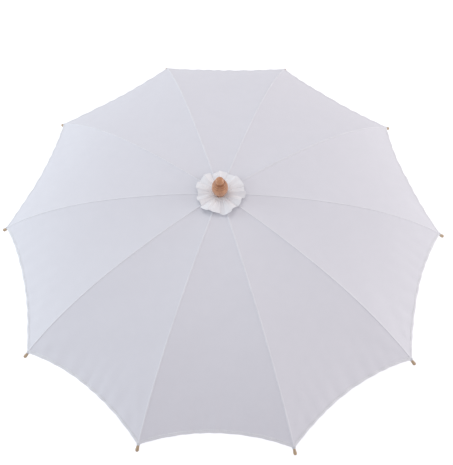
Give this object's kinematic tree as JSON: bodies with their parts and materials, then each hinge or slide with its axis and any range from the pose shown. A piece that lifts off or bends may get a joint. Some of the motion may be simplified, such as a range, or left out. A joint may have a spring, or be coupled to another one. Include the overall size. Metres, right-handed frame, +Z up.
{
  "type": "parasol",
  "caption": "Open folding parasol with a white cotton canopy on curved ribs, turned wooden finial with a ruffled collar, and a straight wooden handle.",
  "frame": {"origin": "centre of the handle's lower end, which is the centre of the bounding box's base", "axes": "+Z up the shaft towards the finial, +X over rib 1"},
  "size_m": [0.8458, 0.8048, 0.6834],
  "materials": {
    "cotton": "plain-weave white cotton, lightly starched, matt",
    "rosette_cotton": "gathered white cotton ruffle, matt",
    "turned_wood": "turned light wood, satin varnish",
    "shaft_wood": "turned light wood, satin varnish",
    "handle_wood": "turned light wood, satin varnish",
    "rib_metal": "white enamel, semi-gloss",
    "runner_plastic": "white moulded plastic, fine matt",
    "spring_steel": "bright drawn spring steel"
  },
  "bodies": {
    "frame": {"shaft": "shaft_wood", "handle": "handle_wood", "finial": "turned_wood", "crown_notch": "runner_plastic", "cross_pins": "spring_steel", "inner_cap": "cotton", "rosette": "rosette_cotton"},
    "runner": {"runner": "runner_plastic"},
    "top_catch": {"top_catch": "spring_steel"},
    "bottom_catch": {"bottom_catch": "spring_steel"},
    "rib_01": {"rib_01": "rib_metal", "rib_tip_01": "turned_wood"},
    "stretcher_01": {"stretcher_01": "rib_metal"},
    "panel_01_left": {"panel_01_left": "cotton"},
    "panel_10_right": {"panel_10_right": "cotton"},
    "rib_02": {"rib_02": "rib_metal", "rib_tip_02": "turned_wood"},
    "stretcher_02": {"stretcher_02": "rib_metal"},
    "panel_02_left": {"panel_02_left": "cotton"},
    "panel_01_right": {"panel_01_right": "cotton"},
    "rib_03": {"rib_03": "rib_metal", "rib_tip_03": "turned_wood"},
    "stretcher_03": {"stretcher_03": "rib_metal"},
    "panel_03_left": {"panel_03_left": "cotton"},
    "panel_02_right": {"panel_02_right": "cotton"},
    "rib_04": {"rib_04": "rib_metal", "rib_tip_04": "turned_wood"},
    "stretcher_04": {"stretcher_04": "rib_metal"},
    "panel_04_left": {"panel_04_left": "cotton"},
    "panel_03_right": {"panel_03_right": "cotton"},
    "rib_05": {"rib_05": "rib_metal", "rib_tip_05": "turned_wood"},
    "stretcher_05": {"stretcher_05": "rib_metal"},
    "panel_05_left": {"panel_05_left": "cotton"},
    "panel_04_right": {"panel_04_right": "cotton"},
    "rib_06": {"rib_06": "rib_metal", "rib_tip_06": "turned_wood"},
    "stretcher_06": {"stretcher_06": "rib_metal"},
    "panel_06_left": {"panel_06_left": "cotton"},
    "panel_05_right": {"panel_05_right": "cotton"},
    "rib_07": {"rib_07": "rib_metal", "rib_tip_07": "turned_wood"},
    "stretcher_07": {"stretcher_07": "rib_metal"},
    "panel_07_left": {"panel_07_left": "cotton"},
    "panel_06_right": {"panel_06_right": "cotton"},
    "rib_08": {"rib_08": "rib_metal", "rib_tip_08": "turned_wood"},
    "stretcher_08": {"stretcher_08": "rib_metal"},
    "panel_08_left": {"panel_08_left": "cotton"},
    "panel_07_right": {"panel_07_right": "cotton"},
    "rib_09": {"rib_09": "rib_metal", "rib_tip_09": "turned_wood"},
    "stretcher_09": {"stretcher_09": "rib_metal"},
    "panel_09_left": {"panel_09_left": "cotton"},
    "panel_08_right": {"panel_08_right": "cotton"},
    "rib_10": {"rib_10": "rib_metal", "rib_tip_10": "turned_wood"},
    "stretcher_10": {"stretcher_10": "rib_metal"},
    "panel_10_left": {"panel_10_left": "cotton"},
    "panel_09_right": {"panel_09_right": "cotton"}
  },
  "joints": [
    {"name": "runner_slide", "type": "slide", "parent": "frame", "child": "runner", "axis": [0, 0, 1], "range_m": [-0.29193, 0], "deforming": ["panel_01_left", "panel_10_right", "panel_02_left", "panel_01_right", "panel_03_left", "panel_02_right", "panel_04_left", "panel_03_right", "panel_05_left", "panel_04_right", "panel_06_left", "panel_05_right", "panel_07_left", "panel_06_right", "panel_08_left", "panel_07_right", "panel_09_left", "panel_08_right", "panel_10_left", "panel_09_right", "top_catch", "bottom_catch"]},
    {"name": "rib_hinge_01", "type": "hinge", "parent": "frame", "child": "rib_01", "pos_m": [0.01, 0, 0.632], "axis": [0, 1, 0], "range_deg": [0, 68.31]},
    {"name": "stretcher_hinge_01", "type": "hinge", "parent": "rib_01", "child": "stretcher_01", "pos_m": [0.21264, 0, 0.60099], "axis": [0, 1, 0], "range_deg": [-121.75, 0]},
    {"name": "fold_01_left", "type": "hinge", "parent": "rib_01", "child": "panel_01_left", "pos_m": [0.01, 0, 0.61165], "axis": [0.9717, 0, -0.2362], "range_deg": [0, 70.11]},
    {"name": "fold_10_right", "type": "hinge", "parent": "rib_01", "child": "panel_10_right", "pos_m": [0.01, 0, 0.61165], "axis": [-0.9717, 0, 0.2362], "range_deg": [0, 70.11]},
    {"name": "rib_hinge_02", "type": "hinge", "parent": "frame", "child": "rib_02", "pos_m": [0.00809, 0.00588, 0.632], "axis": [-0.5878, 0.809, 0], "range_deg": [0, 68.31]},
    {"name": "stretcher_hinge_02", "type": "hinge", "parent": "rib_02", "child": "stretcher_02", "pos_m": [0.17203, 0.12499, 0.60099], "axis": [-0.5878, 0.809, 0], "range_deg": [-121.75, 0]},
    {"name": "fold_02_left", "type": "hinge", "parent": "rib_02", "child": "panel_02_left", "pos_m": [0.00809, 0.00588, 0.61165], "axis": [0.7861, 0.5711, -0.2362], "range_deg": [0, 70.11]},
    {"name": "fold_01_right", "type": "hinge", "parent": "rib_02", "child": "panel_01_right", "pos_m": [0.00809, 0.00588, 0.61165], "axis": [-0.7861, -0.5711, 0.2362], "range_deg": [0, 70.11]},
    {"name": "rib_hinge_03", "type": "hinge", "parent": "frame", "child": "rib_03", "pos_m": [0.00309, 0.00951, 0.632], "axis": [-0.9511, 0.309, 0], "range_deg": [0, 68.31]},
    {"name": "stretcher_hinge_03", "type": "hinge", "parent": "rib_03", "child": "stretcher_03", "pos_m": [0.06571, 0.20223, 0.60099], "axis": [-0.9511, 0.309, 0], "range_deg": [-121.75, 0]},
    {"name": "fold_03_left", "type": "hinge", "parent": "rib_03", "child": "panel_03_left", "pos_m": [0.00309, 0.00951, 0.61165], "axis": [0.3003, 0.9241, -0.2362], "range_deg": [0, 70.11]},
    {"name": "fold_02_right", "type": "hinge", "parent": "rib_03", "child": "panel_02_right", "pos_m": [0.00309, 0.00951, 0.61165], "axis": [-0.3003, -0.9241, 0.2362], "range_deg": [0, 70.11]},
    {"name": "rib_hinge_04", "type": "hinge", "parent": "frame", "child": "rib_04", "pos_m": [-0.00309, 0.00951, 0.632], "axis": [-0.9511, -0.309, 0], "range_deg": [0, 68.31]},
    {"name": "stretcher_hinge_04", "type": "hinge", "parent": "rib_04", "child": "stretcher_04", "pos_m": [-0.06571, 0.20223, 0.60099], "axis": [-0.9511, -0.309, 0], "range_deg": [-121.75, 0]},
    {"name": "fold_04_left", "type": "hinge", "parent": "rib_04", "child": "panel_04_left", "pos_m": [-0.00309, 0.00951, 0.61165], "axis": [-0.3003, 0.9241, -0.2362], "range_deg": [0, 70.11]},
    {"name": "fold_03_right", "type": "hinge", "parent": "rib_04", "child": "panel_03_right", "pos_m": [-0.00309, 0.00951, 0.61165], "axis": [0.3003, -0.9241, 0.2362], "range_deg": [0, 70.11]},
    {"name": "rib_hinge_05", "type": "hinge", "parent": "frame", "child": "rib_05", "pos_m": [-0.00809, 0.00588, 0.632], "axis": [-0.5878, -0.809, 0], "range_deg": [0, 68.31]},
    {"name": "stretcher_hinge_05", "type": "hinge", "parent": "rib_05", "child": "stretcher_05", "pos_m": [-0.17203, 0.12499, 0.60099], "axis": [-0.5878, -0.809, 0], "range_deg": [-121.75, 0]},
    {"name": "fold_05_left", "type": "hinge", "parent": "rib_05", "child": "panel_05_left", "pos_m": [-0.00809, 0.00588, 0.61165], "axis": [-0.7861, 0.5711, -0.2362], "range_deg": [0, 70.11]},
    {"name": "fold_04_right", "type": "hinge", "parent": "rib_05", "child": "panel_04_right", "pos_m": [-0.00809, 0.00588, 0.61165], "axis": [0.7861, -0.5711, 0.2362], "range_deg": [0, 70.11]},
    {"name": "rib_hinge_06", "type": "hinge", "parent": "frame", "child": "rib_06", "pos_m": [-0.01, 0, 0.632], "axis": [0, -1, 0], "range_deg": [0, 68.31]},
    {"name": "stretcher_hinge_06", "type": "hinge", "parent": "rib_06", "child": "stretcher_06", "pos_m": [-0.21264, 0, 0.60099], "axis": [0, -1, 0], "range_deg": [-121.75, 0]},
    {"name": "fold_06_left", "type": "hinge", "parent": "rib_06", "child": "panel_06_left", "pos_m": [-0.01, 0, 0.61165], "axis": [-0.9717, 0, -0.2362], "range_deg": [0, 70.11]},
    {"name": "fold_05_right", "type": "hinge", "parent": "rib_06", "child": "panel_05_right", "pos_m": [-0.01, 0, 0.61165], "axis": [0.9717, 0, 0.2362], "range_deg": [0, 70.11]},
    {"name": "rib_hinge_07", "type": "hinge", "parent": "frame", "child": "rib_07", "pos_m": [-0.00809, -0.00588, 0.632], "axis": [0.5878, -0.809, 0], "range_deg": [0, 68.31]},
    {"name": "stretcher_hinge_07", "type": "hinge", "parent": "rib_07", "child": "stretcher_07", "pos_m": [-0.17203, -0.12499, 0.60099], "axis": [0.5878, -0.809, 0], "range_deg": [-121.75, 0]},
    {"name": "fold_07_left", "type": "hinge", "parent": "rib_07", "child": "panel_07_left", "pos_m": [-0.00809, -0.00588, 0.61165], "axis": [-0.7861, -0.5711, -0.2362], "range_deg": [0, 70.11]},
    {"name": "fold_06_right", "type": "hinge", "parent": "rib_07", "child": "panel_06_right", "pos_m": [-0.00809, -0.00588, 0.61165], "axis": [0.7861, 0.5711, 0.2362], "range_deg": [0, 70.11]},
    {"name": "rib_hinge_08", "type": "hinge", "parent": "frame", "child": "rib_08", "pos_m": [-0.00309, -0.00951, 0.632], "axis": [0.9511, -0.309, 0], "range_deg": [0, 68.31]},
    {"name": "stretcher_hinge_08", "type": "hinge", "parent": "rib_08", "child": "stretcher_08", "pos_m": [-0.06571, -0.20223, 0.60099], "axis": [0.9511, -0.309, 0], "range_deg": [-121.75, 0]},
    {"name": "fold_08_left", "type": "hinge", "parent": "rib_08", "child": "panel_08_left", "pos_m": [-0.00309, -0.00951, 0.61165], "axis": [-0.3003, -0.9241, -0.2362], "range_deg": [0, 70.11]},
    {"name": "fold_07_right", "type": "hinge", "parent": "rib_08", "child": "panel_07_right", "pos_m": [-0.00309, -0.00951, 0.61165], "axis": [0.3003, 0.9241, 0.2362], "range_deg": [0, 70.11]},
    {"name": "rib_hinge_09", "type": "hinge", "parent": "frame", "child": "rib_09", "pos_m": [0.00309, -0.00951, 0.632], "axis": [0.9511, 0.309, 0], "range_deg": [0, 68.31]},
    {"name": "stretcher_hinge_09", "type": "hinge", "parent": "rib_09", "child": "stretcher_09", "pos_m": [0.06571, -0.20223, 0.60099], "axis": [0.9511, 0.309, 0], "range_deg": [-121.75, 0]},
    {"name": "fold_09_left", "type": "hinge", "parent": "rib_09", "child": "panel_09_left", "pos_m": [0.00309, -0.00951, 0.61165], "axis": [0.3003, -0.9241, -0.2362], "range_deg": [0, 70.11]},
    {"name": "fold_08_right", "type": "hinge", "parent": "rib_09", "child": "panel_08_right", "pos_m": [0.00309, -0.00951, 0.61165], "axis": [-0.3003, 0.9241, 0.2362], "range_deg": [0, 70.11]},
    {"name": "rib_hinge_10", "type": "hinge", "parent": "frame", "child": "rib_10", "pos_m": [0.00809, -0.00588, 0.632], "axis": [0.5878, 0.809, 0], "range_deg": [0, 68.31]},
    {"name": "stretcher_hinge_10", "type": "hinge", "parent": "rib_10", "child": "stretcher_10", "pos_m": [0.17203, -0.12499, 0.60099], "axis": [0.5878, 0.809, 0], "range_deg": [-121.75, 0]},
    {"name": "fold_10_left", "type": "hinge", "parent": "rib_10", "child": "panel_10_left", "pos_m": [0.00809, -0.00588, 0.61165], "axis": [0.7861, -0.5711, -0.2362], "range_deg": [0, 70.11]},
    {"name": "fold_09_right", "type": "hinge", "parent": "rib_10", "child": "panel_09_right", "pos_m": [0.00809, -0.00588, 0.61165], "axis": [-0.7861, 0.5711, 0.2362], "range_deg": [0, 70.11]},
    {"name": "top_catch_press", "type": "hinge", "parent": "frame", "child": "top_catch", "pos_m": [0.003, 0, 0.43], "axis": [0, -1, 0], "range_deg": [0, 6.5], "stiffness_Nm_per_rad": 0.05, "springref_deg": -8.59},
    {"name": "bottom_catch_press", "type": "hinge", "parent": "frame", "child": "bottom_catch", "pos_m": [0.003, 0, 0.1966], "axis": [0, 1, 0], "range_deg": [0, 6.5], "stiffness_Nm_per_rad": 0.05, "springref_deg": -8.59}
  ],
  "couplings": [
    {"joint": "rib_hinge_01", "follows": "runner_slide", "rad_per_m": -4.0834},
    {"joint": "stretcher_hinge_01", "follows": "runner_slide", "rad_per_m": 7.2781},
    {"joint": "fold_01_left", "follows": "runner_slide", "rad_per_m": -4.191},
    {"joint": "fold_10_right", "follows": "runner_slide", "rad_per_m": -4.191},
    {"joint": "rib_hinge_02", "follows": "runner_slide", "rad_per_m": -4.0834},
    {"joint": "stretcher_hinge_02", "follows": "runner_slide", "rad_per_m": 7.2781},
    {"joint": "fold_02_left", "follows": "runner_slide", "rad_per_m": -4.191},
    {"joint": "fold_01_right", "follows": "runner_slide", "rad_per_m": -4.191},
    {"joint": "rib_hinge_03", "follows": "runner_slide", "rad_per_m": -4.0834},
    {"joint": "stretcher_hinge_03", "follows": "runner_slide", "rad_per_m": 7.2781},
    {"joint": "fold_03_left", "follows": "runner_slide", "rad_per_m": -4.191},
    {"joint": "fold_02_right", "follows": "runner_slide", "rad_per_m": -4.191},
    {"joint": "rib_hinge_04", "follows": "runner_slide", "rad_per_m": -4.0834},
    {"joint": "stretcher_hinge_04", "follows": "runner_slide", "rad_per_m": 7.2781},
    {"joint": "fold_04_left", "follows": "runner_slide", "rad_per_m": -4.191},
    {"joint": "fold_03_right", "follows": "runner_slide", "rad_per_m": -4.191},
    {"joint": "rib_hinge_05", "follows": "runner_slide", "rad_per_m": -4.0834},
    {"joint": "stretcher_hinge_05", "follows": "runner_slide", "rad_per_m": 7.2781},
    {"joint": "fold_05_left", "follows": "runner_slide", "rad_per_m": -4.191},
    {"joint": "fold_04_right", "follows": "runner_slide", "rad_per_m": -4.191},
    {"joint": "rib_hinge_06", "follows": "runner_slide", "rad_per_m": -4.0834},
    {"joint": "stretcher_hinge_06", "follows": "runner_slide", "rad_per_m": 7.2781},
    {"joint": "fold_06_left", "follows": "runner_slide", "rad_per_m": -4.191},
    {"joint": "fold_05_right", "follows": "runner_slide", "rad_per_m": -4.191},
    {"joint": "rib_hinge_07", "follows": "runner_slide", "rad_per_m": -4.0834},
    {"joint": "stretcher_hinge_07", "follows": "runner_slide", "rad_per_m": 7.2781},
    {"joint": "fold_07_left", "follows": "runner_slide", "rad_per_m": -4.191},
    {"joint": "fold_06_right", "follows": "runner_slide", "rad_per_m": -4.191},
    {"joint": "rib_hinge_08", "follows": "runner_slide", "rad_per_m": -4.0834},
    {"joint": "stretcher_hinge_08", "follows": "runner_slide", "rad_per_m": 7.2781},
    {"joint": "fold_08_left", "follows": "runner_slide", "rad_per_m": -4.191},
    {"joint": "fold_07_right", "follows": "runner_slide", "rad_per_m": -4.191},
    {"joint": "rib_hinge_09", "follows": "runner_slide", "rad_per_m": -4.0834},
    {"joint": "stretcher_hinge_09", "follows": "runner_slide", "rad_per_m": 7.2781},
    {"joint": "fold_09_left", "follows": "runner_slide", "rad_per_m": -4.191},
    {"joint": "fold_08_right", "follows": "runner_slide", "rad_per_m": -4.191},
    {"joint": "rib_hinge_10", "follows": "runner_slide", "rad_per_m": -4.0834},
    {"joint": "stretcher_hinge_10", "follows": "runner_slide", "rad_per_m": 7.2781},
    {"joint": "fold_10_left", "follows": "runner_slide", "rad_per_m": -4.191},
    {"joint": "fold_09_right", "follows": "runner_slide", "rad_per_m": -4.191}
  ]
}
